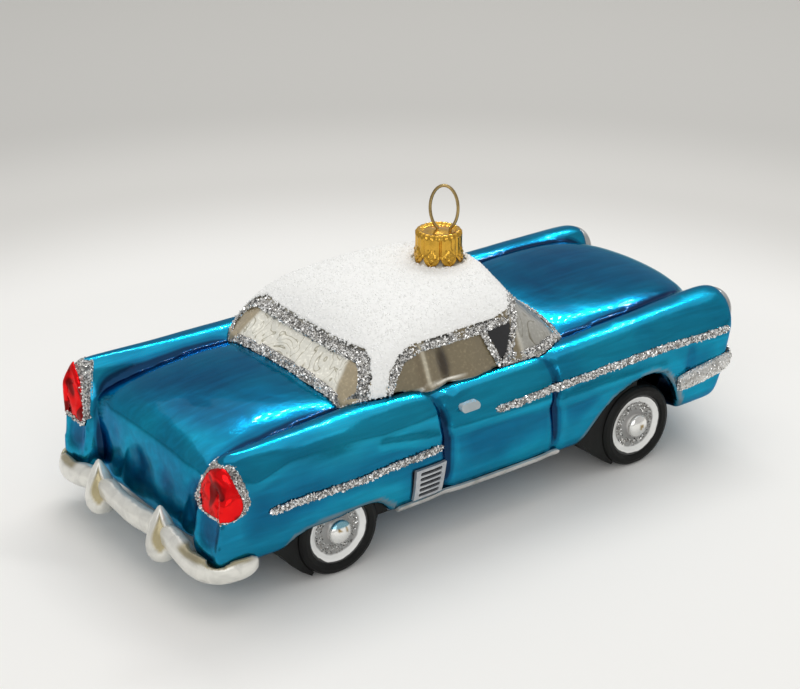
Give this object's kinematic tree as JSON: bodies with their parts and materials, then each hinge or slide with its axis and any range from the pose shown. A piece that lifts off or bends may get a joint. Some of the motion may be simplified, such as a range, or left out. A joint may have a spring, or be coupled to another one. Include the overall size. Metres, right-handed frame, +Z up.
{
  "type": "hanging car ornament",
  "caption": "Blown-glass hanging ornament shaped like a two-tone hardtop car with fins, a frosted roof, glitter trim, a stamped metal cap and a wire hanger.",
  "frame": {"origin": "on the floor under the middle of the length, between the wheels", "axes": "+X the way the car faces, +Y its left side, +Z up"},
  "size_m": [0.1391, 0.065, 0.0607],
  "materials": {
    "lacquer_blue": "clear blue lacquer over silvered glass",
    "silver_glass": "bare glass, silvered inside",
    "frost_white": "rough white granules",
    "glitter": "coarse silver glitter in glue",
    "tyre_black": "satin black paint on glass",
    "wheel_white": "white paint and silver glitter on glass",
    "pearl_silver": "pearl silver paint on glass",
    "bronze_pearl": "silvered glass seen through a thin warm wash",
    "lamp_red": "clear red lacquer over silvered glass",
    "lamp_grey": "light grey paint on glass",
    "cap_gold": "stamped gold-coloured sheet",
    "wire_gold": "drawn gold-coloured wire"
  },
  "bodies": {
    "ornament": {"cabin": "silver_glass", "door_handle_left": "lamp_grey", "door_handle_right": "lamp_grey", "front_bumper": "pearl_silver", "front_side_trim_left": "glitter", "front_side_trim_right": "glitter", "grille": "pearl_silver", "headlamp_left": "lamp_grey", "headlamp_right": "lamp_grey", "lower_body": "lacquer_blue", "rear_bumper": "pearl_silver", "rear_bumper_guard_left": "bronze_pearl", "rear_bumper_guard_right": "bronze_pearl", "rear_side_trim_left": "glitter", "rear_side_trim_right": "glitter", "rear_window_glitter": "glitter", "roof_coat": "frost_white", "side_vent_left": "lamp_grey", "side_vent_right": "lamp_grey", "side_window_glitter_left": "glitter", "side_window_glitter_right": "glitter", "sill_trim_left": "pearl_silver", "sill_trim_right": "pearl_silver", "tail_lamp_glitter_left": "glitter", "tail_lamp_glitter_right": "glitter", "tail_lamp_left": "lamp_red", "tail_lamp_right": "lamp_red", "tyre_front_left": "tyre_black", "tyre_front_right": "tyre_black", "tyre_rear_left": "tyre_black", "tyre_rear_right": "tyre_black", "wheel_disc_front_left": "wheel_white", "wheel_disc_front_right": "wheel_white", "wheel_disc_rear_left": "wheel_white", "wheel_disc_rear_right": "wheel_white", "windscreen_glitter": "glitter"},
    "cap": {"cap": "cap_gold"},
    "hanger": {"hanger_wire": "wire_gold"}
  },
  "joints": [
    {"name": "cap_turn", "type": "hinge", "parent": "ornament", "child": "cap", "pos_m": [0.0067, 0, 0.048], "axis": [0, 0, 1], "continuous": true},
    {"name": "hanger_draw", "type": "slide", "parent": "cap", "child": "hanger", "axis": [0, 0, 1], "range_m": [0, 0.004]}
  ]
}
